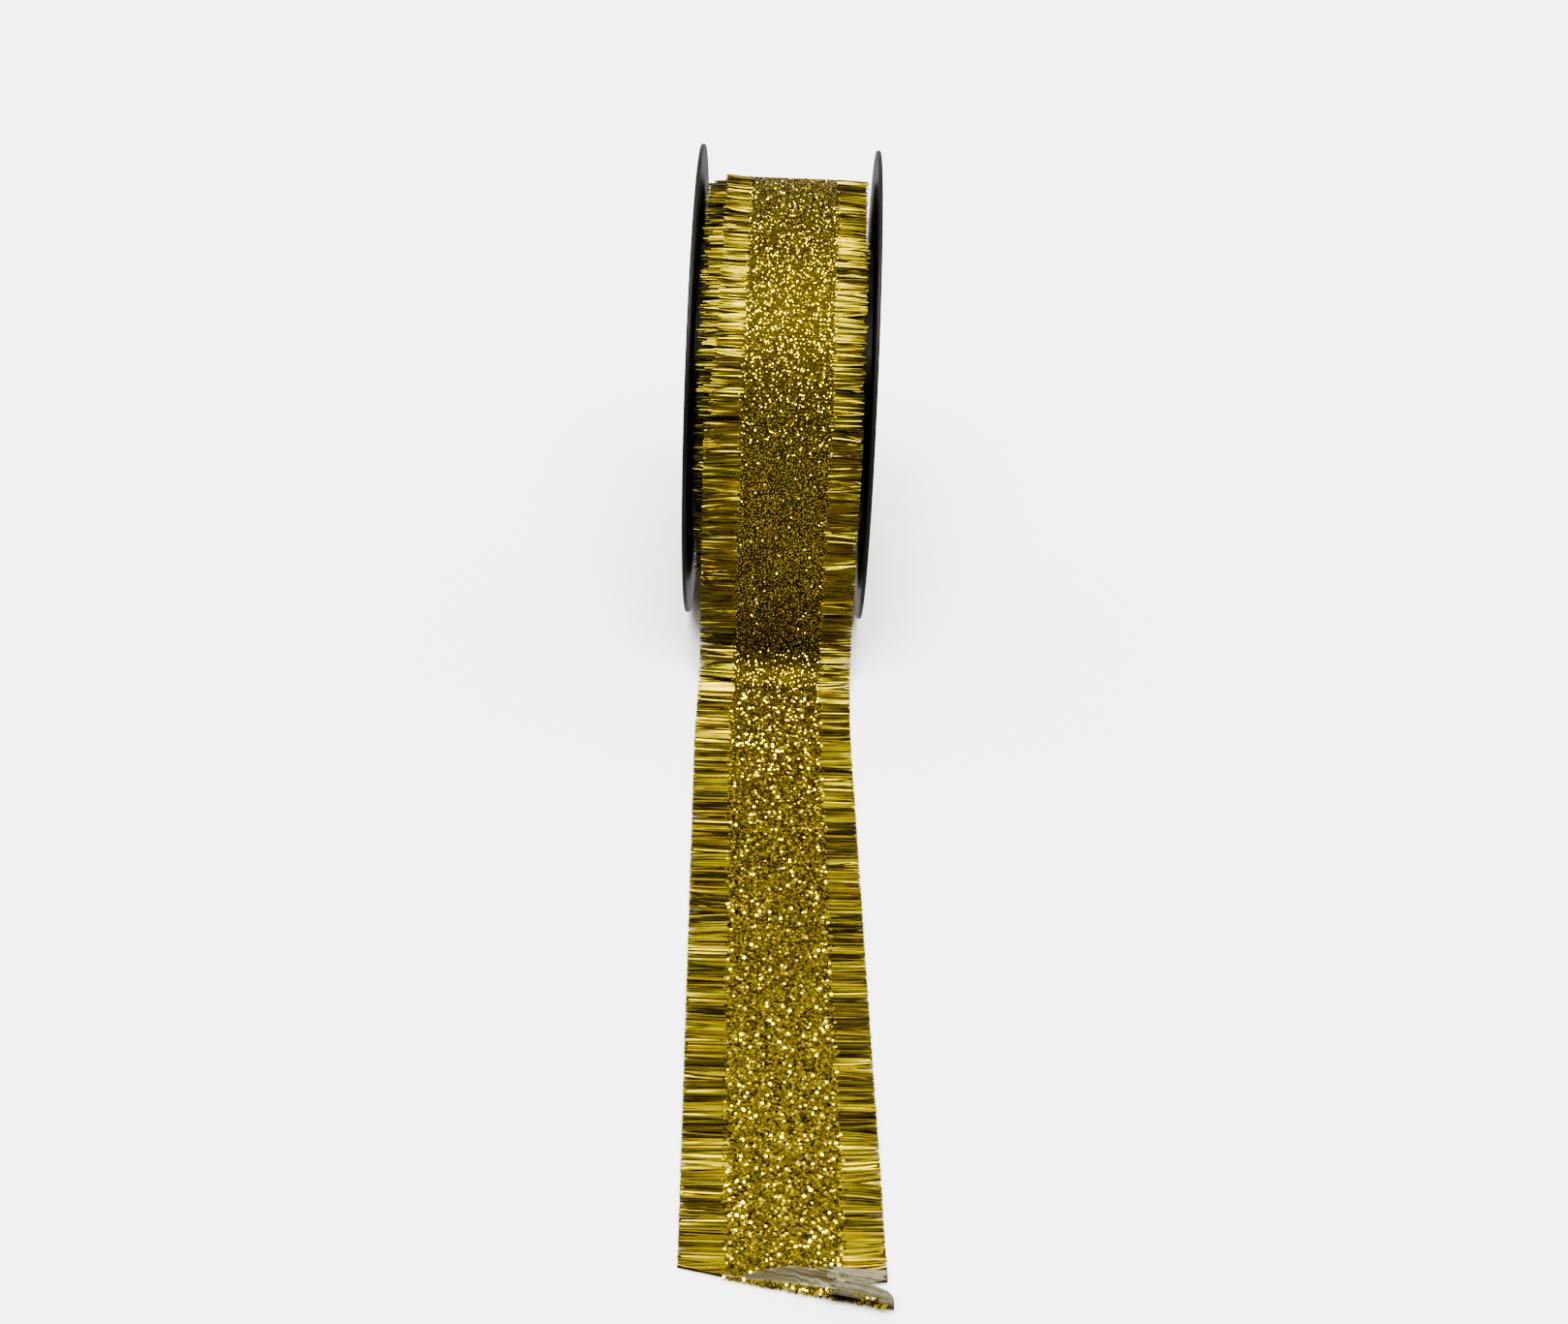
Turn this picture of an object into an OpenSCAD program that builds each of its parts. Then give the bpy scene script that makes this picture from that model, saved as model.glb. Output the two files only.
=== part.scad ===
// Ribbon spool: two thin flanges snapped onto a ribbed core barrel, a roll of
// fringed ribbon wound on it, and the ribbon's free strand leading off the roll
// to the front. The axis of the spool is X, the strand leads towards -Y, and the
// origin is the middle of the spindle bore. The spool stands on its two rims.

/* [Flanges] */
// Diameter of both flanges
flange_d = 120; // [110:1:150]
// Thickness of a flange
flange_t = 1.0; // [0.8:0.1:1.6]
// Width of the spool over the outer faces of its flanges
spool_w = 45.4; // [44:0.2:60]

/* [Core] */
// Outer diameter of the core barrel
core_d = 70; // [50:1:76]
// Wall of the core barrel
core_wall = 1.6; // [1.2:0.1:2.4]
// Diameter of the spindle bore
spindle_bore_d = 16; // [10:0.5:20]
// Wall of the spindle tube round the bore
spindle_wall = 2.0; // [1.2:0.1:2.4]
// Number of ribs between the spindle tube and the barrel
rib_count = 6; // [4:2:8]

/* [Ribbon] */
// Width of the ribbon's glitter band
band_w = 22.4; // [16:0.2:24]
// Length of the loose fringe on the left edge
left_fringe_w = 8.4; // [4:0.2:9]
// Length of the loose fringe on the right edge
right_fringe_w = 7.4; // [4:0.2:8]
// Thickness of the ribbon
ribbon_t = 0.4; // [0.2:0.1:0.6]
// Outer radius of the wound roll
roll_r = 52.2; // [45:0.1:53]

/* [Free strand] */
// Length of the strand that lies flat, measured at its left edge
strand_reach = 197; // [80:1:260]
// Angle by which the flat strand heads to the right
strand_heading = 1.85; // [0:0.05:4]
// Skew of the fold across the strand's end
fold_skew = 15.5; // [5:0.5:25]
// Radius of the bend where the strand meets the ground
bend_r = 9; // [4:0.5:10]

/* [Hidden] */
$fn = 96;

gap_w = spool_w - 2 * flange_t;      // clear width between the flanges
rim_chamfer = 0.25;
recess_d = 84;                       // shallow step in each flange's outer face
recess_depth = 0.2;
bead_w = 1.6;                        // raised bead on the outer face at the rim
bead_h = 0.2;
spindle_r = spindle_bore_d / 2;
tube_r = spindle_r + spindle_wall;
barrel_in_r = core_d / 2 - core_wall;
snap_gap = 0.1;                      // play between a flange and the core
collar_t = 1.5;
collar_h = 6;
rib_t = 1.4;
rib_angles = [for (i = [0:rib_count - 1]) (i + 0.5) * 360 / rib_count];
tape_t = 0.2;
tape_w = 18;
tape_angle = 55;
roll_in_r = core_d / 2 + tape_t + 0.1;

// Across the spool the ribbon sits a little right of centre, and the turns
// below the outermost few are wound further to the left.
ribbon_w = left_fringe_w + band_w + right_fringe_w;
ribbon_x = 1;
shift = 2.6;
shift_r = roll_r - 1.4;
edge_l = ribbon_x - ribbon_w / 2;    // tips of the left fringe
band_l = edge_l + left_fringe_w;     // left edge of the glitter band
band_r = band_l + band_w;            // right edge of the glitter band
edge_r = band_r + right_fringe_w;    // tips of the right fringe

// Side profile of the strand, as points [y, z, slope of its face] along its middle
// line. It laps the roll, drops off it, and bends forwards onto the ground.
ground_z = -flange_d / 2;
strand_gap = 0.3;                    // air between the roll and the strand
lap_up = 14;                         // where the strand starts, above the axis
leave = 5;                           // where it leaves the roll, below the axis
lap_r = roll_r + strand_gap + ribbon_t / 2;
bend_z = ground_z + ribbon_t / 2 + bend_r;
drop = (-lap_r * sin(leave) - bend_z - bend_r * sin(leave)) / cos(leave);
bend_y = -lap_r * cos(leave) + drop * sin(leave) - bend_r * cos(leave);
joint_lap = 0.5;                     // the flat run starts this far inside the bend
lap_steps = 6;
bend_steps = 12;
strand_path = concat(
    [for (i = [0:lap_steps]) let (a = lap_up - i * (lap_up + leave) / lap_steps)
        [-lap_r * cos(a), lap_r * sin(a), a]],
    [for (i = [0:bend_steps]) let (a = leave - i * (leave + 90) / bend_steps)
        [bend_y + bend_r * cos(a), bend_z + bend_r * sin(a), -a]]);

// Distance along the flat strand of the fold line, at v across the ribbon
function fold_u(v) = strand_reach + (v + ribbon_w / 2) * tan(fold_skew);

// A point [y, z, slope] of the strand's path moved by d to one side of it: side 1
// is its front and upper face, side -1 the face towards the roll and the ground
function beside(p, side, d) =
    [p[0] - side * d * cos(p[2]), p[1] + side * d * sin(p[2])];

// Turns a profile drawn as [radius, x] about the spool's axis
module turned(angle = 360) rotate([0, 90, 0]) rotate_extrude(angle = angle) children();

// Ring of the wound roll between two places across the outermost turn
module wound(from, to) turned() union() {
    translate([roll_in_r, from - shift]) square([shift_r - roll_in_r, to - from]);
    translate([shift_r, from]) square([roll_r - shift_r, to - from]);
}

// Flange seen as the left one: outer face towards -X, collar towards +X
module flange() {
    inner_x = -gap_w / 2;
    outer_x = -spool_w / 2;
    r = flange_d / 2;
    turned() polygon([
        [tube_r + snap_gap, inner_x], [r - rim_chamfer, inner_x],
        [r, inner_x - rim_chamfer], [r, outer_x + rim_chamfer],
        [r - rim_chamfer, outer_x], [r - bead_w, outer_x],
        [r - bead_w - bead_h, outer_x + bead_h],
        [recess_d / 2 + recess_depth, outer_x + bead_h],
        [recess_d / 2, outer_x + bead_h + recess_depth],
        [tube_r + snap_gap + bead_w, outer_x + bead_h + recess_depth],
        [tube_r + snap_gap + bead_w - bead_h, outer_x],
        [tube_r + snap_gap, outer_x]]);
    collar_r = barrel_in_r - snap_gap;
    difference() {
        turned() polygon([
            [collar_r - collar_t, inner_x - 0.2], [collar_r, inner_x - 0.2],
            [collar_r, inner_x + collar_h - 0.6], [collar_r - 0.6, inner_x + collar_h],
            [collar_r - collar_t, inner_x + collar_h]]);
        for (a = rib_angles) rotate([a, 0, 0])
            translate([inner_x - 1, -rib_t / 2 - 0.3, 0])
                cube([collar_h + 2, rib_t + 0.6, core_d / 2]);
    }
}

module left_flange() color([0.03, 0.03, 0.035]) flange();

module right_flange() color([0.03, 0.03, 0.035]) mirror([1, 0, 0]) flange();

// Barrel, ribs and spindle tube moulded in one; the tube ends flush with the
// flanges' outer faces and carries the spindle bore.
module core_barrel() color([0.06, 0.06, 0.065]) {
    turned() translate([barrel_in_r, -gap_w / 2]) square([core_wall, gap_w]);
    turned() translate([spindle_r, -spool_w / 2]) square([spindle_wall, spool_w]);
    for (a = rib_angles) rotate([a, 0, 0])
        translate([-gap_w / 2, -rib_t / 2, tube_r - 0.3])
            cube([gap_w, rib_t, barrel_in_r - tube_r + 0.6]);
}

// Strip of tape that fixes the ribbon's inner end to the barrel
module start_tape() color([0.85, 0.83, 0.75])
    turned(tape_angle)
        translate([core_d / 2, ribbon_x - shift - tape_w / 2]) square([tape_t, tape_w]);

module ribbon_roll() color([0.62, 0.5, 0.1]) wound(band_l, band_r);

module roll_fringe_left() color([0.55, 0.48, 0.08]) wound(edge_l, band_l);

module roll_fringe_right() color([0.55, 0.48, 0.08]) wound(band_r, edge_r);

// Part of the free strand between two places across the ribbon: the lap, drop
// and bend, the flat run, and the end folded back on top of it from fold_from.
module strand(from, to, fold_from) {
    h = ribbon_t / 2;
    rotate([90, 0, 90]) translate([0, 0, from]) linear_extrude(to - from) polygon(concat(
        [for (p = strand_path) beside(p, 1, h)],
        [for (i = [len(strand_path) - 1:-1:0]) beside(strand_path[i], -1, h)]));
    v0 = from - ribbon_x;
    v1 = to - ribbon_x;
    c = cos(strand_heading);
    s = sin(strand_heading);
    translate([ribbon_x, bend_y, ground_z]) rotate([0, 0, strand_heading]) {
        linear_extrude(ribbon_t) polygon([
            [v0 * c + joint_lap * s, -v0 * s + joint_lap * c],
            [v1 * c + joint_lap * s, -v1 * s + joint_lap * c],
            [v1, -fold_u(v1)], [v0, -fold_u(v0)]]);
        if (fold_from < v1) translate([0, 0, ribbon_t]) linear_extrude(ribbon_t) polygon([
            [fold_from, -strand_reach], [v1, -strand_reach],
            [v1, -fold_u(v1)], [fold_from, -fold_u(fold_from)]]);
    }
}

module ribbon_tail() color([0.66, 0.54, 0.12])
    strand(band_l, band_r, band_l - ribbon_x);

module tail_fringe_left() color([0.58, 0.5, 0.1]) strand(edge_l, band_l, ribbon_w);

module tail_fringe_right() color([0.58, 0.5, 0.1])
    strand(band_r, edge_r, band_r - ribbon_x);

left_flange();
right_flange();
core_barrel();
start_tape();
ribbon_roll();
roll_fringe_left();
roll_fringe_right();
ribbon_tail();
tail_fringe_left();
tail_fringe_right();
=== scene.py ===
"""Looks of the ribbon spool: black flanges, a roll of fringed glitter ribbon and its free strand.

Lengths are in millimetres while a piece is made and go to metres in new_piece(). Places on the ribbon are
given as (s, v, h): s runs along it, v across it from its middle, h stands out from its face.
"""
import math

import bpy
import numpy as np
from mathutils import Matrix, Vector


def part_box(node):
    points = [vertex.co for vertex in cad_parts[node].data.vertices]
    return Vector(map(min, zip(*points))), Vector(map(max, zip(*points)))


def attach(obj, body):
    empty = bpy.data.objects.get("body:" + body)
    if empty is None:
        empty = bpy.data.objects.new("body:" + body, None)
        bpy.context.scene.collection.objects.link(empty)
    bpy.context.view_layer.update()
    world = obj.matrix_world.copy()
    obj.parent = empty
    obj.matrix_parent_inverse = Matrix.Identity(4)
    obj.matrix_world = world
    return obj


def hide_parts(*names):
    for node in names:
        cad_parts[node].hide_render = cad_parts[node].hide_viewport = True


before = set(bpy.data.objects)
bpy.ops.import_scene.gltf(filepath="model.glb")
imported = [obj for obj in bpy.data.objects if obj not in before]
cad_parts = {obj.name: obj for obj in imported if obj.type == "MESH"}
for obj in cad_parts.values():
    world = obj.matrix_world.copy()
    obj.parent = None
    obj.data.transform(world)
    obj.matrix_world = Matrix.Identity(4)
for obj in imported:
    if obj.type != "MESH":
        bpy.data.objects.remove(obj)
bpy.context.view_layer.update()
MM = 0.001


# ---- sizes read from the frame, in millimetres ----

def low(node, axis):
    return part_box(node)[0][axis] / MM


def high(node, axis):
    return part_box(node)[1][axis] / MM


X, Z = 0, 2
FLANGE_R = high("left_flange", Z)
GROUND = -FLANGE_R
ROLL_R = high("ribbon_roll", Z)
CORE_R = high("core_barrel", Z)
BAND_L = high("roll_fringe_left", X)          # edges of the glitter band on the outermost turn
BAND_R = high("ribbon_roll", X)
EDGE_R = high("roll_fringe_right", X)         # tips of the right fringe
SHIFT = BAND_L - low("ribbon_roll", X)        # the turns below lie this far to the left
EDGE_L = low("roll_fringe_left", X) + SHIFT   # tips of the left fringe
RIBBON_X = (EDGE_L + EDGE_R) / 2              # the middle of the outermost turn and the strand
V_L, V_R = BAND_L - RIBBON_X, BAND_R - RIBBON_X
V_TIP_L, V_TIP_R = EDGE_L - RIBBON_X, EDGE_R - RIBBON_X

# ---- sizes of the ribbon that part.scad also names ----

RIBBON_T = 0.4
STRAND_GAP = 0.3                              # air between the roll and the strand
SHIFT_DEPTH = 1.4                             # depth of the outermost turns, which lie to the right
LAP_UP = math.radians(14)                     # where the strand starts, above the axis
LEAVE = math.radians(5)                       # where it leaves the roll, below the axis
BEND_R = 9.0
HEADING = math.radians(1.85)                  # the flat run swings this far to the right
FOLD_SKEW = math.radians(15.5)
STRAND_REACH = 197.0
LAP_R = ROLL_R + STRAND_GAP + RIBBON_T / 2

# ---- sizes of the look alone ----

CLOTH = 0.12                                  # the cloth's face above the middle of the ribbon
TURN_IN = 30.0                                # the flat run turns to its heading over this length
WAVES = (3.1, 5.3, 8.6, 14)                   # the lengths of the strand's small waves, over 2 pi
WAVE_HEIGHT = 0.016                           # the most that a wave rises, against its value above
FLAT_SHORT = 3.0                              # the laid look, with its lighter cloth as painted light, starts this far before the end of the bend
NOD, NOD_LENGTH = 0.3, 60.0                   # gloss leans to the front by this angle, over this length
STACK_SHORT = 0.9                             # the stacks of cut ends stop this far inside the fringe's tips
STACK_DEPTH = 1.0                             # and this far below the roll's face
STACK_HELD = 3.0                              # the left stack's outer turns start this much later
FLAP_FROM = -8.0                              # the folded flap starts here, across the ribbon
FLAP_HEIGHT = 0.42                            # the flap rests this far above the cloth
CURL = 0.45                                   # the share of the fold's rows that goes round its front
RUN_ROWS, FOLD_ROWS, BAND_COLUMNS = 620, 30, 41
LIP_ROWS = 9                                  # rows of the fold's front that show the gold face
CHIP_SIDES = 6
CHIP_ROOT = 0.12                              # a chip's closing point lies this far below it

# Chips are small and dense on the roll and the hanging strand, larger on the laid strand.
FINE_CHIPS = dict(radius=(0.14, 0.24), per_mm2=4.8)
LARGE_CHIPS = dict(radius=(0.19, 0.34), per_mm2=3.2, proud=0.85)
HANGING_FRINGE = dict(gather=0.8, lean=(0.22, 0.33))
LAID_FRINGE = dict(gather=0.35, lean=(0.1, 0.19), thick=1.15)

# ---- camera and room ----

EYE = (0.033, -9.575, 4.348)                  # the camera's place, in radii of the flange
LOOK_DOWN, LOOK_RIGHT, TILT = 30.97, 0.14, 2.3    # degrees
LENS, SENSOR = 55.6, 36
ROOM_FRONT, ROOM_BACK, ROOM_BELOW = 0.16, 0.41, 0.54    # brightness of the room on these sides


# ---- the two surfaces that carry ribbon ----

class Roll:
    """A wound turn: s runs round it from the front, downwards at first."""

    def __init__(self, radius):
        self.radius = radius
        self.length = 2 * math.pi * radius

    def frame(self, s):
        """Point, and the directions across, out of and along the ribbon."""
        a = -np.asarray(s) / self.radius
        zero = np.zeros_like(a)
        normal = np.stack([zero, -np.cos(a), np.sin(a)], -1)
        along = np.stack([zero, -np.sin(a), -np.cos(a)], -1)
        across = np.stack([zero + 1, zero, zero], -1)
        return normal * self.radius + [RIBBON_X, 0, 0], across, normal, along

    def lift(self, s, v):
        return 0.0 * np.asarray(s)


class Strand:
    """The free strand's middle line: lap on the roll, drop, bend and flat run."""

    STEP = 0.25
    SPARE = 60.0                              # the line goes on this far past the fold

    def __init__(self):
        bend_z = GROUND + RIBBON_T / 2 + BEND_R
        drop = (-LAP_R * math.sin(LEAVE) - bend_z - BEND_R * math.sin(LEAVE)) / math.cos(LEAVE)
        bend_y = -(LAP_R + BEND_R) * math.cos(LEAVE) + drop * math.sin(LEAVE)
        rows = []                             # x, y, z, slope and heading
        for a in self.spread(LAP_UP, -LEAVE, LAP_R):
            rows.append((0, -LAP_R * math.cos(a), LAP_R * math.sin(a), a, 0))
        for d in self.spread(0, drop, 1):
            y = -LAP_R * math.cos(LEAVE) + d * math.sin(LEAVE)
            rows.append((0, y, -LAP_R * math.sin(LEAVE) - d * math.cos(LEAVE), -LEAVE, 0))
        for a in self.spread(LEAVE, -math.pi / 2, BEND_R):
            rows.append((0, bend_y + BEND_R * math.cos(a), bend_z + BEND_R * math.sin(a), -a, 0))
        self.flat_from = LAP_R * (LAP_UP + LEAVE) + drop + BEND_R * (LEAVE + math.pi / 2)
        self.square = self.flat_from + STRAND_REACH
        x, y = 0.0, bend_y
        for d in self.spread(0, STRAND_REACH + self.SPARE, 1):
            turn = HEADING * min(1, d / TURN_IN)
            rows.append((x, y, GROUND + RIBBON_T / 2, math.pi / 2, turn))
            x += self.STEP * math.sin(turn)
            y -= self.STEP * math.cos(turn)
        x, y, z, slope, turn = np.array(rows).T
        self.point = np.stack([x + RIBBON_X, y, z], -1)
        self.across = np.stack([np.cos(turn), np.sin(turn), 0 * turn], -1)
        self.normal = np.stack([0 * slope, -np.cos(slope), np.sin(slope)], -1)
        self.along = np.cross(self.across, self.normal)
        steps = np.linalg.norm(np.diff(self.point, axis=0), axis=1)
        self.s = np.concatenate([[0], np.cumsum(steps)])
        rng = np.random.default_rng(5)
        self.waves = [(w, WAVE_HEIGHT * w * rng.uniform(0.5, 1), rng.uniform(0, 6.28),
                       rng.uniform(-0.09, 0.09)) for w in WAVES]

    def spread(self, start, stop, radius):
        """Evenly spaced values from start up to stop, about STEP apart along an arc of that radius."""
        n = max(2, int(abs(stop - start) * radius / self.STEP))
        return np.linspace(start, stop, n, endpoint=False)

    def frame(self, s):
        """Point, and the directions across, out of and along the ribbon."""
        def read(table):
            return np.stack([np.interp(s, self.s, table[:, i]) for i in range(3)], -1)
        return read(self.point), read(self.across), read(self.normal), read(self.along)

    def lift(self, s, v):
        """How far the ribbon stands off its middle line: it starts near the roll, then waves a little."""
        s, v = np.asarray(s, float), np.asarray(v, float)
        wave = sum(size * (1 + np.sin(s / w + turn + v * slant)) for w, size, turn, slant in self.waves)
        return wave * np.clip((s - 20) / 25, 0, 1) - STRAND_GAP * np.clip(1 - s / 6, 0, 1)

    def nod(self, s):
        """How far gloss on the first stretch of the flat run leans to the front, in radians."""
        return NOD * np.clip(1 - (np.asarray(s) - self.flat_from) / NOD_LENGTH, 0, 1)

    def fold_s(self, v):
        """Where the fold line crosses, at v across the ribbon."""
        return self.square + (np.asarray(v) - V_TIP_L) * math.tan(FOLD_SKEW)

    def last_s(self, v):
        """The furthest that fringe reaches, just short of the fold line."""
        return self.fold_s(v) - 0.2

    def before_fold(self, s, v):
        """Whether a place lies on the run, before the fold starts to curl."""
        return s < self.fold_s(v) - fold_radius(v) - 0.1


def place(surface, s, v, h):
    """Points at (s, v, h) on a surface."""
    point, across, normal, _ = surface.frame(s)
    h = h + surface.lift(s, v)
    return point + across * np.asarray(v)[..., None] + normal * h[..., None]


def smooth(x):
    """A soft step from 0 to 1."""
    x = np.clip(x, 0, 1)
    return x * x * (3 - 2 * x)


def unit(a):
    """Vectors scaled to a length of 1."""
    return a / np.linalg.norm(a, axis=-1)[..., None]


# ---- meshes ----

def new_piece(name, points, faces, materials, body, replaced=(), smooth_faces=False,
              face_material=None, cloth_uv=None):
    """A mesh from points in millimetres and arrays of faces with equal corner counts."""
    groups = faces if isinstance(faces, list) else [faces]
    mesh = bpy.data.meshes.new(name)
    points = np.asarray(points, float).reshape(-1, 3) * MM
    corners = np.concatenate([g.ravel() for g in groups])
    sizes = np.concatenate([np.full(len(g), g.shape[1]) for g in groups])
    mesh.vertices.add(len(points))
    mesh.vertices.foreach_set("co", points.astype(np.float32).ravel())
    mesh.loops.add(len(corners))
    mesh.loops.foreach_set("vertex_index", corners.astype(np.int32))
    mesh.polygons.add(len(sizes))
    mesh.polygons.foreach_set("loop_start", (np.cumsum(sizes) - sizes).astype(np.int32))
    mesh.polygons.foreach_set("use_smooth", np.full(len(sizes), smooth_faces))
    if face_material is not None:
        mesh.polygons.foreach_set("material_index", np.asarray(face_material, np.int32))
    if cloth_uv is not None:
        layer = mesh.uv_layers.new(name="cloth")
        layer.data.foreach_set("uv", cloth_uv[corners].astype(np.float32).ravel())
    mesh.update(calc_edges=True)
    mesh.validate()
    for material in materials:
        mesh.materials.append(material)
    piece = bpy.data.objects.new(name, mesh)
    bpy.context.scene.collection.objects.link(piece)
    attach(piece, body)
    if replaced:
        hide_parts(*replaced)
    return piece


def grid_faces(rows, columns, wrapped=False):
    """Quads of a grid of points stored row by row; a wrapped grid closes on itself both ways."""
    r = np.arange(rows if wrapped else rows - 1)
    c = np.arange(columns if wrapped else columns - 1)
    r, c = np.meshgrid(r, c, indexing="ij")
    r1, c1 = (r + 1) % rows, (c + 1) % columns
    quads = np.stack([r * columns + c, r1 * columns + c, r1 * columns + c1, r * columns + c1], -1)
    return quads.reshape(-1, 4)


def joined(parts):
    """Several (points, faces, tone per filament) meshes as one, with a material index per face."""
    points, groups, tones, start = [], {}, {}, 0
    for p, faces, tone in parts:
        p = p.reshape(-1, 3)
        for f in faces:
            groups.setdefault(f.shape[1], []).append(f + start)
            tones.setdefault(f.shape[1], []).append(np.repeat(tone, len(f) // len(tone)))
        points.append(p)
        start += len(p)
    return (np.concatenate(points), [np.concatenate(g) for g in groups.values()],
            np.concatenate([t for g in tones.values() for t in g]))


# ---- glitter ----

def chips(point, across, normal, along, rng, radius, tilt, proud=1.0):
    """Six-sided glitter chips lying on a face, each closed by a point sunk into the cloth.

    The share proud of them tilts fully and, where it is less than all of them, is larger.
    """
    n = len(point)
    stands = rng.uniform(0, 1, n) < proud
    lean = rng.normal(0, 1, (n, 2)) * np.where(stands, tilt, 0.4 * tilt)[:, None]
    up = unit(normal + across * np.tan(lean[:, :1]) + along * np.tan(lean[:, 1:]))
    side = unit(np.cross(up, along))
    other = np.cross(up, side)
    size = rng.uniform(*radius, n) * np.where(stands & (proud < 1), 1.25, 1.0)
    centre = point + normal * (0.02 + 0.6 * size * np.abs(lean).max(1))[:, None]
    spin = rng.uniform(0, 6.28, n)
    rim = [centre + size[:, None] * (side * np.cos(spin + a)[:, None] + other * np.sin(spin + a)[:, None])
           for a in np.arange(CHIP_SIDES) * math.pi / 3]
    points = np.stack(rim + [centre - up * CHIP_ROOT], 1)
    base = np.arange(n)[:, None] * (CHIP_SIDES + 1)
    tops = base + np.arange(CHIP_SIDES)[None]
    sides = np.array([[(k + 1) % CHIP_SIDES, k, CHIP_SIDES] for k in range(CHIP_SIDES)])
    return points, [tops, (base[:, :, None] + sides[None]).reshape(-1, 3)]


def jittered(rng, s0, s1, v0, v1, per_mm2):
    """Points spread evenly but not regularly over a stretch of ribbon."""
    cell = 1 / math.sqrt(per_mm2)
    ns, nv = int((s1 - s0) / cell), int((v1 - v0) / cell)
    s, v = np.meshgrid(np.arange(ns) + 0.5, np.arange(nv) + 0.5, indexing="ij")
    s = s0 + (s + rng.uniform(-0.6, 0.6, s.shape)) * (s1 - s0) / ns
    v = v0 + (v + rng.uniform(-0.6, 0.6, v.shape)) * (v1 - v0) / nv
    return s.ravel(), v.ravel()


def glitter_piece(name, points, faces, rng, body):
    """A piece of chips, half of them gold and the rest deeper or greener."""
    tone = rng.choice(len(GLITTERS), len(points), p=[0.5, 0.25, 0.25])
    return new_piece(name, points, faces, GLITTERS, body,
                     face_material=np.concatenate([tone, np.repeat(tone, CHIP_SIDES)]))


def glitter(name, surface, s0, s1, body, seed, tilt, radius, per_mm2, proud=1.0, keep=None, nod=None):
    """The band's glitter between two places along the ribbon, thinning out over its edges."""
    rng = np.random.default_rng(seed)
    s, v = jittered(rng, s0, s1, V_L - 0.7, V_R + 0.7, per_mm2)
    over = np.maximum(V_L - v, v - V_R) + 0.25
    wanted = rng.uniform(0, 1, len(s)) > over / 0.9
    if keep is not None:
        wanted &= keep(s, v)
    s, v = s[wanted], v[wanted]
    _, across, normal, along = surface.frame(s)
    if nod is not None:
        cos, sin = np.cos(nod(s))[:, None], np.sin(nod(s))[:, None]
        normal, along = normal * cos + along * sin, along * cos - normal * sin
    point = place(surface, s, v, CLOTH + 0 * s)
    points, faces = chips(point, across, normal, along, rng, radius, math.radians(tilt), proud)
    return glitter_piece(name, points, faces, rng, body)


# ---- fringe ----

def filaments(surface, s, v, h, width, roll):
    """Flat tapering filaments along paths (one row each), three corners to a ring, closed at the ends."""
    n, rings = s.shape
    _, across, normal, tangent = surface.frame(s)
    centre = place(surface, s, v, h)
    flat = tangent * np.cos(roll)[..., None] + normal * np.sin(roll)[..., None]
    up = normal * np.cos(roll)[..., None] - tangent * np.sin(roll)[..., None]
    half = width[..., None] / 2
    points = np.stack([centre - flat * half, centre + flat * half, centre - up * 0.07], 2)
    base = np.arange(n)[:, None, None] * rings * 3
    r = np.arange(rings - 1)
    walls = np.concatenate([np.stack([r * 3 + a, r * 3 + b, r * 3 + 3 + b, r * 3 + 3 + a], -1)
                            for a, b in ((0, 1), (1, 2), (2, 0))])
    ends = np.array([[2, 1, 0], [rings * 3 - 3, rings * 3 - 2, rings * 3 - 1]])
    turn = 1 if v[0, -1] > v[0, 0] else -1      # keeps the faces outward on both sides of the ribbon
    walls = (base + walls[None]).reshape(-1, 4)[:, ::turn]
    ends = (base + ends[None]).reshape(-1, 3)[:, ::turn]
    return points, [walls, ends]


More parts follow.
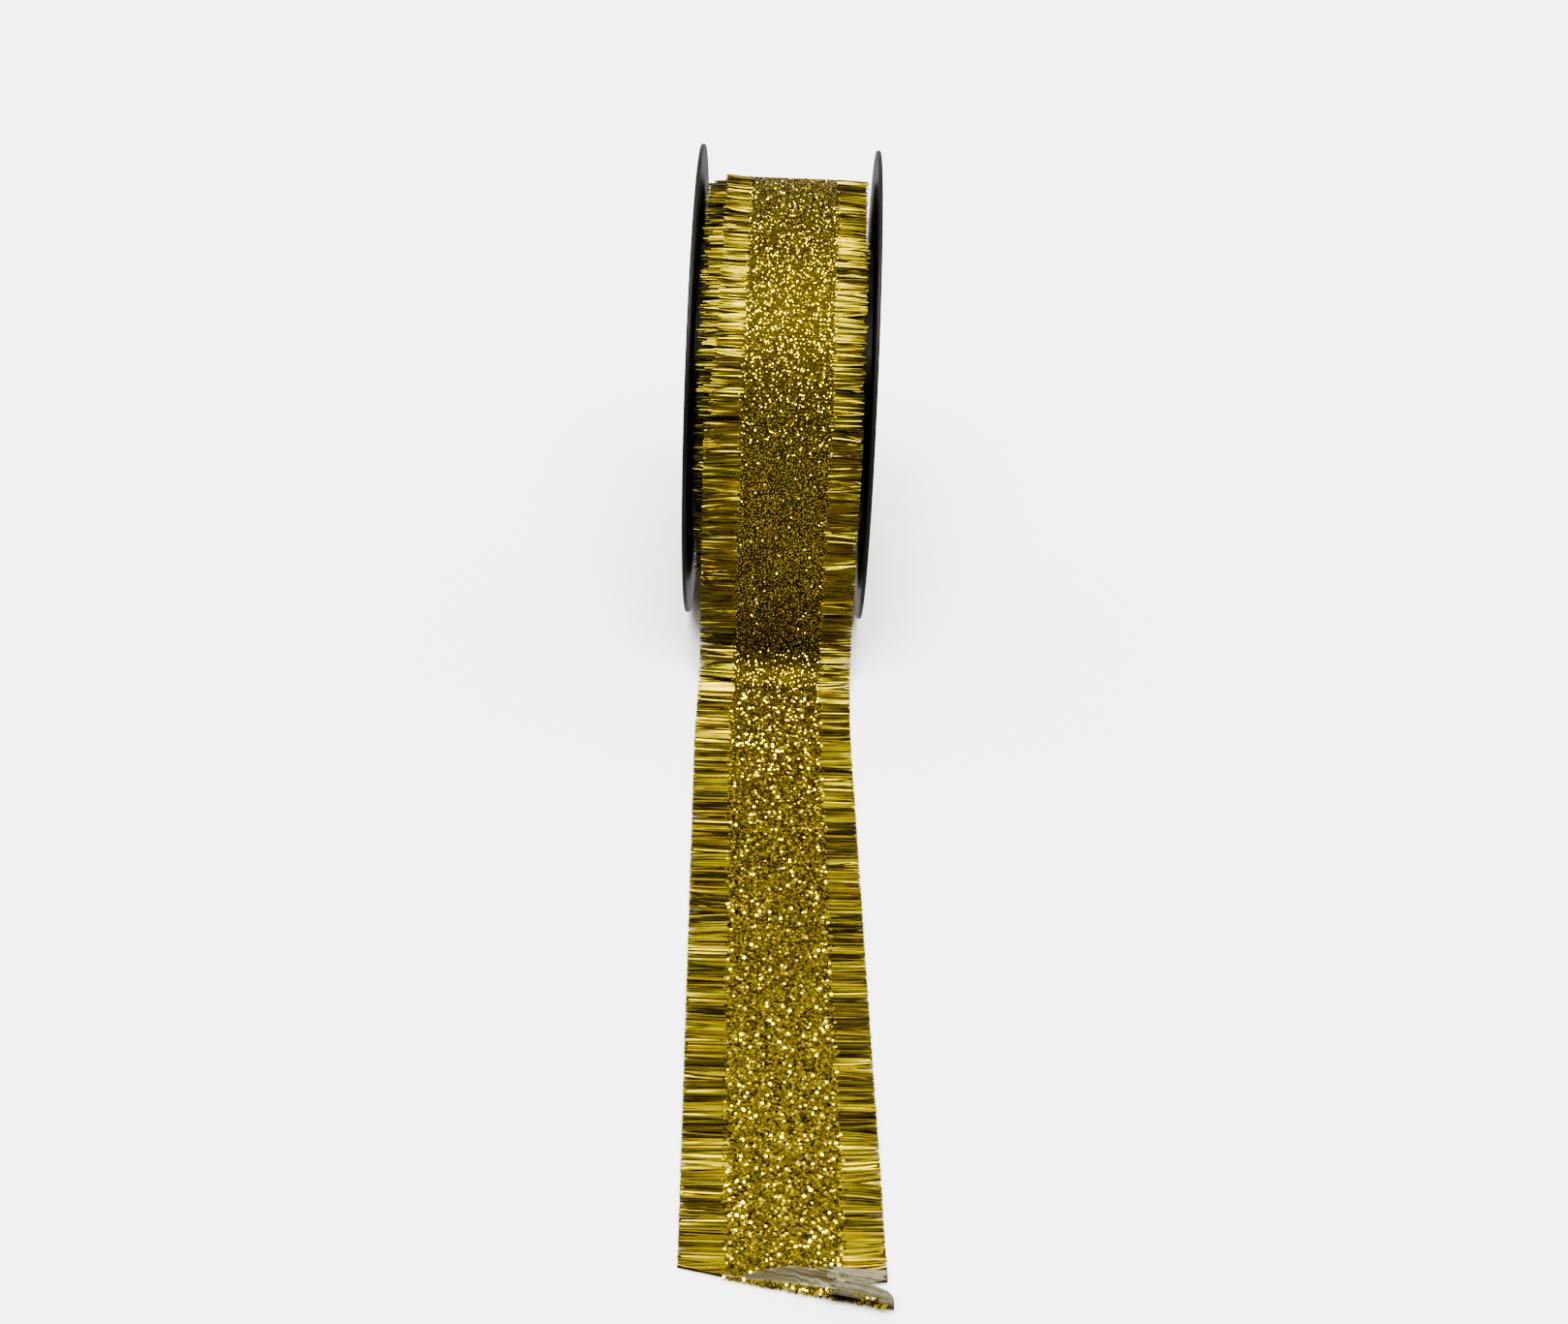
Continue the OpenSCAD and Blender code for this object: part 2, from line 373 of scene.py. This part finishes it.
def fringe_layer(rng, surface, span, edges, pitch, rise, length, clump=1.4, rings=5, shape=None, limit=None,
                 gather=0.7, lean=(0.2, 0.3), thick=1.0, nod=None):
    """One layer of a fringe, its filaments gathered into clumps; returns points, faces and tones.

    span is the stretch of ribbon, edges are the places across it where filaments start and end, rise holds
    their heights there, and length the least and greatest share of the full reach.
    """
    s0, s1 = span
    v_base, v_tip = edges
    h_from, h_to = rise
    n = int((s1 - s0) / pitch)
    start = s0 + (np.arange(n) + rng.uniform(0.1, 0.9, n)) * (s1 - s0) / n
    centres = np.sort(rng.uniform(s0, s1, int((s1 - s0) / clump)))
    nearest = np.abs(start[:, None] - centres[None]).argmin(1)
    drift = np.clip((centres[nearest] - start) * rng.uniform(0.1 * gather, gather, n), -0.9, 0.9)
    drift += rng.normal(0, 0.15 * gather, n)
    reach = rng.uniform(*length, n)
    h_tip = h_to + rng.uniform(-0.1, 0.1, n)
    if shape is not None:
        scale, raised = shape(start)
        reach, h_tip = reach * scale, h_tip + raised
    t = np.linspace(0, 1, rings)[None]
    outward = np.sign(v_tip - v_base)
    v_from = v_base - outward * rng.uniform(0, 1.0, n)
    v_to = v_base + (v_tip - v_base) * reach
    s = start[:, None] + drift[:, None] * t ** 1.6
    v = v_from[:, None] + (v_to - v_from)[:, None] * t
    h = h_from + (h_tip - h_from)[:, None] * t ** 2
    if limit is not None:
        s = np.minimum(s, limit(v))
    turn = rng.normal(0, lean[0], len(centres))[nearest] + rng.normal(0, lean[1], n)
    if nod is not None:
        turn = turn - nod(start)
    roll = turn[:, None] + rng.normal(0, lean[1], n)[:, None] * t
    width = thick * rng.uniform(0.24, 0.42, n)[:, None] * (1 - 0.4 * t ** 2)
    points, faces = filaments(surface, s, v, h, width, roll)
    tone = rng.choice(3, len(centres), p=[0.5, 0.25, 0.25])[nearest]
    tone = np.where(rng.uniform(0, 1, n) < 0.6, rng.choice(3, n, p=[0.5, 0.2, 0.3]), tone)
    return points, faces, tone


def left_fringe_shape(s):
    """Over the top of the roll the left fringe stands up and so reaches less far."""
    angle = -np.asarray(s) / ROLL_R
    crest = smooth((np.cos(angle - math.radians(75)) - 0.35) / 0.6)
    return 1 - 0.27 * crest, 0.75 * crest


def lap_shape(s):
    """Where the strand lies on the roll its left fringe lifts a little over the standing fringe below."""
    return 1 + 0 * s, 0.65 * np.clip((30 - s) / 8, 0, 1)


def with_painted_shade(rng, layer):
    """A fringe layer with about two thirds of its filaments in a darker film, as painted shade."""
    points, faces, tone = layer
    return points, faces, np.where(rng.uniform(0, 1, len(tone)) < 0.65, EXTRA_TONE, tone)


# ---- materials ----

class Nodes:
    """A material's node tree, with short ways to add and link nodes."""

    def __init__(self, name):
        self.material = bpy.data.materials.new(name)
        self.material.use_nodes = True
        self.tree = self.material.node_tree
        self.shader = self.tree.nodes["Principled BSDF"]

    def add(self, kind, **values):
        made = self.tree.nodes.new("ShaderNode" + kind)
        for key, value in values.items():
            if key in made.inputs:
                made.inputs[key].default_value = value
            else:
                setattr(made, key, value)
        return made

    def link(self, out, into):
        self.tree.links.new(out, into)

    def set(self, **values):
        for key, value in values.items():
            self.shader.inputs[key.replace("_", " ")].default_value = value

    def noise(self, scale, detail=3.0, where=None, stretch=None):
        made = self.add("TexNoise", Scale=scale, Detail=detail)
        source = where or self.add("TexCoord").outputs["Object"]
        if stretch:
            mapping = self.add("Mapping")
            mapping.inputs["Scale"].default_value = stretch
            self.link(source, mapping.inputs["Vector"])
            source = mapping.outputs["Vector"]
        self.link(source, made.inputs["Vector"])
        return made.outputs["Fac"]

    def colour(self, value, stops):
        """The base colour from a value between 0 and 1 and (position, colour) stops."""
        made = self.add("ValToRGB")
        elements = made.color_ramp.elements
        while len(elements) < len(stops):
            elements.new(0.5)
        for element, (position, colour) in zip(elements, stops):
            element.position = position
            element.color = (*colour, 1)
        self.link(value, made.inputs["Fac"])
        self.link(made.outputs["Color"], self.shader.inputs["Base Color"])

    def roughness(self, value, least, most):
        made = self.add("MapRange")
        made.inputs["To Min"].default_value = least
        made.inputs["To Max"].default_value = most
        self.link(value, made.inputs["Value"])
        self.link(made.outputs["Result"], self.shader.inputs["Roughness"])

    def bump(self, height, distance, strength=1.0):
        made = self.add("Bump", Strength=strength, Distance=distance)
        self.link(height, made.inputs["Height"])
        self.link(made.outputs["Normal"], self.shader.inputs["Normal"])


def metal_film(name, colours, rough, metallic=1.0):
    """Metallised film: its colour drifts a little along the ribbon."""
    m = Nodes(name)
    m.set(Metallic=metallic)
    m.colour(m.noise(260, 2), list(zip((0.3, 0.5, 0.7), colours)))
    m.roughness(m.noise(900, 2), *rough)
    return m.material


def cloth(name, colours, metallic, rough, depth, ribs_by=(160, 2600)):
    """Woven metallic ground cloth: fine ribs across the ribbon, crossed by warp threads."""
    m = Nodes(name)
    m.set(Metallic=metallic, Specular_IOR_Level=0.2)
    uv = m.add("UVMap", uv_map="cloth").outputs["UV"]
    ribs = m.noise(1.0, 2, where=uv, stretch=(*ribs_by, 1))
    warp = m.noise(1.0, 2, where=uv, stretch=(2200, 300, 1))
    both = m.add("Math", operation="ADD")
    m.link(ribs, both.inputs[0])
    m.link(warp, both.inputs[1])
    m.colour(ribs, list(zip((0.3, 0.5, 0.75), colours)))
    m.roughness(warp, *rough)
    m.bump(both.outputs[0], depth * MM)
    return m.material


def black_plastic(name, colour, rough):
    """Moulded black plastic: faint flow marks and fine scuffs in its gloss."""
    m = Nodes(name)
    m.set(Specular_IOR_Level=0.22)
    m.colour(m.noise(30, 4), [(0.3, colour), (0.7, tuple(c * 1.7 for c in colour))])
    m.roughness(m.noise(600, 3, stretch=(1, 0.12, 1)), *rough)
    m.bump(m.noise(160, 4), 0.02 * MM, 0.5)
    return m.material


def tape_film(name):
    """Plain tape, a little yellow."""
    m = Nodes(name)
    m.colour(m.noise(90, 3), [(0.3, (0.62, 0.58, 0.44)), (0.7, (0.72, 0.69, 0.56))])
    m.roughness(m.noise(400, 2), 0.35, 0.5)
    return m.material


GLITTERS = [
    metal_film("glitter_gold", [(0.46, 0.36, 0.045), (0.54, 0.43, 0.07), (0.49, 0.36, 0.04)], (0.1, 0.17)),
    metal_film("glitter_deep", [(0.31, 0.235, 0.026), (0.36, 0.27, 0.034), (0.29, 0.21, 0.02)], (0.12, 0.2)),
    metal_film("glitter_green", [(0.3, 0.272, 0.03), (0.35, 0.312, 0.035), (0.28, 0.25, 0.024)],
               (0.12, 0.2))]
FILMS = [
    metal_film("film_gold", [(0.19, 0.152, 0.018), (0.232, 0.185, 0.022), (0.2, 0.154, 0.017)], (0.24, 0.4)),
    metal_film("film_deep", [(0.155, 0.113, 0.012), (0.18, 0.13, 0.014), (0.14, 0.1, 0.01)], (0.27, 0.42)),
    metal_film("film_olive", [(0.145, 0.13, 0.016), (0.17, 0.151, 0.018), (0.13, 0.116, 0.014)],
               (0.27, 0.42))]
EXTRA_TONE = len(FILMS)                       # the tone of the one material that a fringe adds to these: painted shade on the roll, silver on the strand
# painted shade: a darker copy of the gold film for the fringe layers that lie lower in the roll
SHADE = metal_film("film_painted_shade", [(0.085, 0.072, 0.008), (0.12, 0.1, 0.012), (0.07, 0.058, 0.006)],
                   (0.27, 0.42))
SILVER = metal_film("film_silver", [(0.09, 0.077, 0.035), (0.2, 0.18, 0.12), (0.13, 0.112, 0.06)],
                    (0.4, 0.55), 0.4)
# the gold weave; the laid cloth below is a lighter copy of it
WEAVE = cloth("gold_weave", [(0.019, 0.0145, 0.0012), (0.043, 0.033, 0.0025), (0.082, 0.062, 0.005)],
              0.8, (0.4, 0.6), 0.1)
# painted light: a lighter copy of the gold weave for the strand where it lies flat and for the fold's gold
# lip
LAID = cloth("gold_weave_laid_painted_light", [(0.048, 0.037, 0.004), (0.095, 0.073, 0.008), (0.145, 0.11, 0.012)],
             0.55, (0.4, 0.6), 0.1)
BACK = cloth("silver_back", [(0.07, 0.058, 0.022), (0.13, 0.115, 0.065), (0.3, 0.28, 0.22)],
             0.4, (0.4, 0.6), 0.25, (60, 1100))
# painted shade: the stacked turns are the same gold cloth, coloured near black for the shade between the
# filaments above them
STACK = cloth("stacked_turns_painted_shade", [(0.006, 0.004, 0.0005), (0.025, 0.016, 0.001), (0.07, 0.045, 0.002)],
              0.5, (0.45, 0.65), 0.15)
BLACK = black_plastic("black_plastic", (0.007, 0.007, 0.006), (0.42, 0.55))
BARREL = black_plastic("barrel_plastic", (0.012, 0.012, 0.013), (0.3, 0.45))
TAPE = tape_film("tape_film")


# ---- the spool and its roll ----

def flanges_and_core():
    """The CAD nodes that are shown as they are get their materials."""
    for node, material in (("left_flange", BLACK), ("right_flange", BLACK),
                           ("core_barrel", BARREL), ("start_tape", TAPE)):
        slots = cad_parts[node].data.materials
        slots.clear()
        slots.append(material)


def ring(name, profile, material, node, seed, ripple=0.0):
    """A turned ring from its profile of (radius, x), rippled a little as wound cloth is."""
    rng = np.random.default_rng(seed)
    turns = 360
    a = np.linspace(0, 2 * math.pi, turns, endpoint=False)
    r, x = np.array(profile).T
    wobble = sum(rng.uniform(0.3, 1) * np.sin(k * a + rng.uniform(0, 6.28)) for k in (3, 7, 16, 41, 90))
    r = r[None] + ripple * wobble[:, None] * (r[None] > ROLL_R - SHIFT_DEPTH - 1)
    points = np.stack([np.broadcast_to(x, r.shape), -r * np.cos(a)[:, None], -r * np.sin(a)[:, None]], -1)
    faces = grid_faces(turns, len(profile), wrapped=True)
    around = (a * ROLL_R)[:, None] + 0 * r
    uv = np.stack([(x[None] + r).ravel() * MM, around.ravel() * MM], -1)
    new_piece(name, points, faces[:, ::-1], [material], "spool", [node], cloth_uv=uv)


def stepped(v_from, v_to, top, held_back=0.0):
    """Profile of a wound ring whose outermost turns lie to the right of those below.

    Those turns start held_back further to the right, to leave room for a fringe that stands up.
    """
    inner = CORE_R + 0.35
    step = top - SHIFT_DEPTH
    a, b = v_from + RIBBON_X, v_to + RIBBON_X
    rim = [(top, a + held_back + (b - a - held_back) * t) for t in np.linspace(0, 1, 9)]
    return ([(inner, a - SHIFT), (step, a - SHIFT), (step, a + held_back)] + rim
            + [(step, b), (step, b - SHIFT), (inner, b - SHIFT)])


def loose_ends(rng, roll):
    """A few filaments of the right fringe have worked loose and curl beside the roll's front."""
    n, rings = 16, 10
    t = np.linspace(0, 1, rings)[None]
    start = ROLL_R * np.radians(rng.uniform(-8, 42, n))[:, None]
    bend = rng.uniform(3, 9, n)[:, None] * rng.choice([-1, 1], n)[:, None]
    s = start + bend * t ** 1.5
    past = rng.uniform(0.1, 0.45, n)[:, None]
    arc = rng.uniform(0.5, 0.8, n)[:, None]
    v = V_TIP_R - 1.5 + (1.5 + past) * np.sin(math.pi * t * arc)
    h = 0.1 + rng.uniform(0.1, 0.5, n)[:, None] * np.sin(2.6 * t) - 0.9 * t ** 2
    width = np.full((n, rings), 0.2)
    points, faces = filaments(roll, s, v, h, width, rng.normal(0, 0.6, n)[:, None] + 0 * t)
    return points, faces, rng.choice([0, 2], n)


def roll_pieces():
    """The band with its glitter, and on each side a stack of cut ends, coloured near black as painted shade,
    under layers of loose filaments.
    """
    roll = Roll(ROLL_R - RIBBON_T / 2)
    between = Roll(ROLL_R - 0.5 * SHIFT_DEPTH - RIBBON_T / 2)
    under = Roll(ROLL_R - SHIFT_DEPTH - RIBBON_T / 2)
    ring("roll_band", stepped(V_L, V_R, roll.radius + CLOTH), WEAVE, "ribbon_roll", 1)
    half = roll.length / 2
    glitter("roll_glitter_lower", roll, 0, half, "spool", seed=2, tilt=18, **FINE_CHIPS)
    glitter("roll_glitter_upper", roll, half, 2 * half, "spool", seed=9, tilt=18, **FINE_CHIPS)
    for side, v_base, v_tip, node, seed, shape, held_back in (
            ("left", V_L, V_TIP_L, "roll_fringe_left", 21, left_fringe_shape, STACK_HELD),
            ("right", V_R, V_TIP_R, "roll_fringe_right", 22, None, 0.0)):
        rng = np.random.default_rng(seed)
        inward = np.sign(v_base - v_tip)
        ends = sorted([v_base, v_tip + inward * STACK_SHORT])
        ring("roll_" + side + "_stack", stepped(*ends, ROLL_R - STACK_DEPTH, held_back), STACK, node,
             seed, 0.05)
        outer = [
            fringe_layer(rng, roll, (0, roll.length), (v_base, v_tip), pitch=0.32, rise=(-0.05, -0.55),
                         length=(0.8, 1.0), shape=shape),
            fringe_layer(rng, roll, (0, roll.length), (v_base, v_tip), pitch=0.36, rise=(0.2, -0.1),
                         length=(0.86, 1.0), clump=1.7, shape=shape)]
        lower = [
            fringe_layer(rng, between, (0, between.length), (v_base - 0.5 * SHIFT, v_tip - 0.6 * SHIFT),
                         pitch=0.42, rise=(-0.1, -0.4), length=(0.8, 1.0)),
            fringe_layer(rng, under, (0, under.length), (v_base - SHIFT, v_tip - SHIFT),
                         pitch=0.38, rise=(-0.1, -0.5), length=(0.9, 1.0))]
        loose = [loose_ends(rng, roll)] if side == "right" else []
        # the lower layers get painted shade
        lower = [with_painted_shade(rng, layer) for layer in lower]
        points, faces, tones = joined(outer + lower + loose)
        new_piece("roll_" + side + "_fringe", points, faces, FILMS + [SHADE], "spool",
                  face_material=tones)


# ---- the fold at the strand's end ----

def fold_radius(v):
    """The fold is a loose cone that opens to the right."""
    return 0.22 + 1.5 * np.clip((v - FLAP_FROM) / (V_R - FLAP_FROM), 0, 1)


def flap_length(v):
    """How far the flap reaches back from the fold line."""
    full = (v - V_TIP_L) * math.tan(FOLD_SKEW)
    grown = 0.5 + 0.62 * (v - FLAP_FROM)
    return np.maximum(0.3, np.minimum(full + 0.3 * np.sin(v * 0.8), grown))


def fold_path(v, u):
    """Height above the cloth and distance back from the fold line, u from 0 at the curl to 1 at the cut."""
    r = fold_radius(v)
    turn = np.clip(u / CURL, 0, 1)
    t = np.clip((u - CURL) / (1 - CURL), 0, 1)
    a = -math.pi / 2 + math.pi * turn
    back = r * (1 - np.cos(a)) + t * np.maximum(flap_length(v) - r, 0.1)
    top = r * (1 + np.sin(a))
    return top + (np.minimum(FLAP_HEIGHT, 2 * r) - 2 * r) * smooth(t) * (u > CURL), back


def fold_glitter(strand):
    """Glitter on the rounded front of the fold."""
    rng = np.random.default_rng(41)
    count = 320
    v = rng.uniform(V_L, V_TIP_R - 0.8, count)
    a = rng.uniform(-0.8, 0.75, count)
    beyond = np.clip((v - V_R) / (V_TIP_R - V_R), 0, 1)
    r = fold_radius(v) * (1 - 0.35 * beyond ** 1.5)
    fold = strand.fold_s(v)
    centre = place(strand, fold - r, v, r + 0.1 * beyond)
    _, across, normal, along = strand.frame(fold)
    out = along * np.cos(a)[:, None] + normal * np.sin(a)[:, None]
    down = np.cross(out, across)
    points, faces = chips(centre + out * (r + CLOTH)[:, None], across, out, down, rng, (0.25, 0.42), 0.45)
    return glitter_piece("fold_glitter", points, faces, rng, "ribbon_end")


def flap_fringe(strand):
    """The right fringe of the folded end: silver behind, gold where it comes round the fold."""
    rng = np.random.default_rng(42)
    n, rings = 84, 7
    u = np.linspace(0.08, 1, n) + rng.uniform(-0.005, 0.005, n)
    h0, back = fold_path(np.full(n, V_R), u)
    part = back / back.max()
    reach = 1.0 - 0.6 * np.exp(-((part - 0.5) / 0.13) ** 2) - 0.12 * np.exp(-((part - 0.8) / 0.05) ** 2)
    reach += 0.08 * smooth((0.3 - part) / 0.2)
    t = np.linspace(0, 1, rings)[None]
    s = float(strand.fold_s(V_R)) - back[:, None] + (0.2 + 1.8 * (1 - part[:, None])) * t ** 1.2
    inner = V_R - rng.uniform(0.5, 4, n)[:, None]
    v = inner + (V_R + (V_TIP_R - V_R) * reach[:, None] - inner) * t
    h = h0[:, None] * (1 - 0.35 * t ** 1.5) + 0.2
    width = np.full((n, rings), 0.36) * (1 - 0.3 * t)
    roll = rng.normal(0, 0.2, n)[:, None] + 0 * t
    points, faces = filaments(strand, s, v, h, width, roll)
    return points, faces, np.where(u > 0.29, EXTRA_TONE, rng.choice([0, EXTRA_TONE], n))


# ---- the free strand ----

def band_shape(strand):
    """Rows of (s, v, h) on the strand's cloth: its run, then the fold and the flap that lies back."""
    v = np.linspace(V_L, V_R, BAND_COLUMNS)
    fold = strand.fold_s(v)
    ragged = 0.45 * (1 + np.sin(v * 2.3) * np.cos(v * 0.9 + 1))
    s_run = ragged + np.linspace(0, 1, RUN_ROWS)[:, None] * (fold - fold_radius(v) - ragged)[None]
    u = np.linspace(0, 1, FOLD_ROWS)[1:, None]
    h_fold, back = fold_path(v[None], u)
    s = np.concatenate([s_run, fold[None] - back])
    return s, np.broadcast_to(v, s.shape), np.concatenate([0 * s_run, h_fold])


def band_faces(rows, columns, laid):
    """Faces of a thin closed sheet made of two grids, and for each 0 gold, 1 silver or 2 the laid gold, a
    lighter copy of the gold as painted light.
    """
    below = rows * columns                    # the lower grid's points come after the upper grid's
    top = grid_faces(rows, columns)
    i, j = np.arange(rows - 1), np.arange(columns - 1)
    left = np.stack([i * columns, i * columns + below, (i + 1) * columns + below, (i + 1) * columns], -1)
    right = left[:, ::-1] + columns - 1
    first = np.stack([j + 1, j + 1 + below, j + below, j], -1)
    last = first[:, ::-1] + (rows - 1) * columns
    row = np.repeat(i, columns - 1)
    lip = (row >= RUN_ROWS - 1) & (row < RUN_ROWS + LIP_ROWS)
    gold = np.where(laid, 2, 0)
    kinds = [np.repeat(gold, columns - 1), np.where(lip, 2, 1), gold, gold, np.zeros(2 * len(j))]
    return np.concatenate([top[:, ::-1], top + below, left, right, first, last]), np.concatenate(kinds)


def strand_band(strand):
    """The free strand's cloth, folded back over itself along a skewed line at its end."""
    s, v, h = band_shape(strand)
    points = place(strand, s, v, h)
    out = unit(np.cross(np.gradient(points, axis=1), -np.gradient(points, axis=0)))
    half = CLOTH * np.clip(0.25 + s / 5, 0.25, 1)[..., None]    # thinner where it starts on the roll
    every = np.concatenate([(points + out * half).reshape(-1, 3), (points - out * half).reshape(-1, 3)])
    steps = np.linalg.norm(np.diff(points, axis=0), axis=2)
    cloth_s = np.concatenate([0 * s[:1], np.cumsum(steps, axis=0)])
    uv = np.stack([v.ravel(), cloth_s.ravel()], -1) * MM
    faces, kinds = band_faces(*s.shape, s[:-1, 0] > strand.flat_from - FLAT_SHORT)
    return new_piece("strand_band", every, faces, [WEAVE, BACK, LAID], "ribbon_end", ["ribbon_tail"],
                     smooth_faces=True, face_material=kinds,
                     cloth_uv=np.concatenate([uv, uv]))


def strand_fringe(strand, side, v_base, v_tip, node, seed):
    """Three layers of filaments, looser where the strand hangs than where it lies."""
    rng = np.random.default_rng(seed)
    flat = strand.flat_from - FLAT_SHORT
    end = float(strand.fold_s(v_base)) if side == "left" else strand.square + 3    # then flap_fringe's own
    layers = []
    for span, manner in (((0.3, flat), HANGING_FRINGE), ((flat, end), dict(LAID_FRINGE, nod=strand.nod))):
        for pitch, rise, length in ((0.25, (0.0, -0.08), (0.97, 1.0)), (0.28, (0.12, 0.08), (0.97, 1.01)),
                                    (0.5, (0.2, 0.3), (0.9, 1.01))):
            layers.append(fringe_layer(rng, strand, span, (v_base, v_tip), pitch, rise, length,
                                       clump=6 * pitch, rings=6, shape=lap_shape if side == "left" else None,
                                       limit=strand.last_s, **manner))
    if side == "right":
        layers.append(flap_fringe(strand))
    points, faces, tones = joined(layers)
    return new_piece("strand_" + side + "_fringe", points, faces, FILMS + [SILVER], "ribbon_end", [node],
                     face_material=tones)


def strand_pieces():
    """The strand's cloth, with its glitter and fringes on it."""
    strand = Strand()
    band = strand_band(strand)
    made = [
        glitter("strand_glitter_hanging", strand, 0.1, strand.flat_from, "ribbon_end", seed=3, tilt=19,
                **FINE_CHIPS),
        glitter("strand_glitter_laid", strand, strand.flat_from, strand.square + 9, "ribbon_end", seed=4,
                tilt=17, keep=strand.before_fold, nod=strand.nod, **LARGE_CHIPS),
        fold_glitter(strand),
        strand_fringe(strand, "left", V_L, V_TIP_L, "tail_fringe_left", 31),
        strand_fringe(strand, "right", V_R, V_TIP_R, "tail_fringe_right", 32)]


# ---- stage, lights and camera ----

def stage():
    """A wide pale floor."""
    m = Nodes("pale_floor")
    m.colour(m.noise(3, 2), [(0.3, (0.93, 0.93, 0.93)), (0.7, (0.95, 0.95, 0.95))])
    m.set(Roughness=0.9, Specular_IOR_Level=0.1)
    mesh = bpy.data.meshes.new("floor")
    w, z = 40.0, GROUND * MM
    mesh.from_pydata([(-w, -w, z), (w, -w, z), (w, w, z), (-w, w, z)], [], [(0, 1, 2, 3)])
    mesh.materials.append(m.material)
    floor = bpy.data.objects.new("floor", mesh)
    bpy.context.scene.collection.objects.link(floor)
    floor.visible_glossy = False              # gloss mirrors the darker room below instead


def dome_light(name, azimuth, elevation, spread, strength):
    """A round light far away; azimuth 0 is the front, positive to the right."""
    data = bpy.data.lights.new(name, "SUN")
    data.energy = strength
    data.angle = math.radians(spread)
    lamp = bpy.data.objects.new(name, data)
    az, el = math.radians(azimuth), math.radians(elevation)
    towards = Vector((math.sin(az) * math.cos(el), -math.cos(az) * math.cos(el), math.sin(el)))
    lamp.rotation_euler = (-towards).to_track_quat("-Z", "Y").to_euler()
    bpy.context.scene.collection.objects.link(lamp)


def room():
    """A room that is dim in front and brighter behind and below, which the gloss mirrors."""
    world = bpy.data.worlds.new("studio")
    world.use_nodes = True
    tree = world.node_tree
    where = tree.nodes.new("ShaderNodeTexCoord")
    split = tree.nodes.new("ShaderNodeSeparateXYZ")
    tree.links.new(where.outputs["Generated"], split.inputs["Vector"])

    def blend(axis, start, stop, first, last):
        """A node whose value goes from first to last as the direction goes from start to stop."""
        made = tree.nodes.new("ShaderNodeMapRange")
        made.interpolation_type = "SMOOTHSTEP"
        for key, value in (("From Min", start), ("From Max", stop), ("To Min", first), ("To Max", last)):
            made.inputs[key].default_value = value
        tree.links.new(split.outputs[axis], made.inputs["Value"])
        return made

    above = blend("Y", -0.5, 0.6, ROOM_FRONT, ROOM_BACK)
    everywhere = blend("Z", -0.12, 0.08, ROOM_BELOW, ROOM_BACK)
    tree.links.new(above.outputs["Result"], everywhere.inputs["To Max"])
    background = tree.nodes["Background"]
    background.inputs["Color"].default_value = (1.0, 0.99, 0.96, 1)
    tree.links.new(everywhere.outputs["Result"], background.inputs["Strength"])
    bpy.context.scene.world = world


def lights():
    """A broad key above the front, a small spark inside it, and five faint points above the back."""
    dome_light("key", 0, 63, 44, 2.7)
    dome_light("spark", -12, 54, 9, 0.2)
    for k, (azimuth, elevation) in enumerate(((180, 58), (160, 66), (202, 67), (172, 77), (210, 80))):
        dome_light("point_%d" % k, azimuth, elevation, 7, 0.05)


def camera():
    """Seen from the front and above, 0.6 m away, with a slight roll."""
    data = bpy.data.cameras.new("camera")
    data.sensor_width = SENSOR
    data.lens = LENS
    data.clip_start = 0.01
    eye = bpy.data.objects.new("camera", data)
    eye.location = [c * FLANGE_R * MM for c in EYE]
    pan = Matrix.Rotation(math.radians(-LOOK_RIGHT), 4, "Z")
    pitch = Matrix.Rotation(math.radians(90 - LOOK_DOWN), 4, "X")
    tilt = Matrix.Rotation(math.radians(TILT), 4, "Z")
    eye.matrix_world = Matrix.Translation(eye.location) @ pan @ pitch @ tilt
    bpy.context.scene.collection.objects.link(eye)
    bpy.context.scene.camera = eye


flanges_and_core()
roll_pieces()
strand_pieces()
stage()
room()
lights()
camera()
view = bpy.context.scene.view_settings
view.view_transform = "AgX"
view.look = "AgX - High Contrast"
view.exposure = 1.0
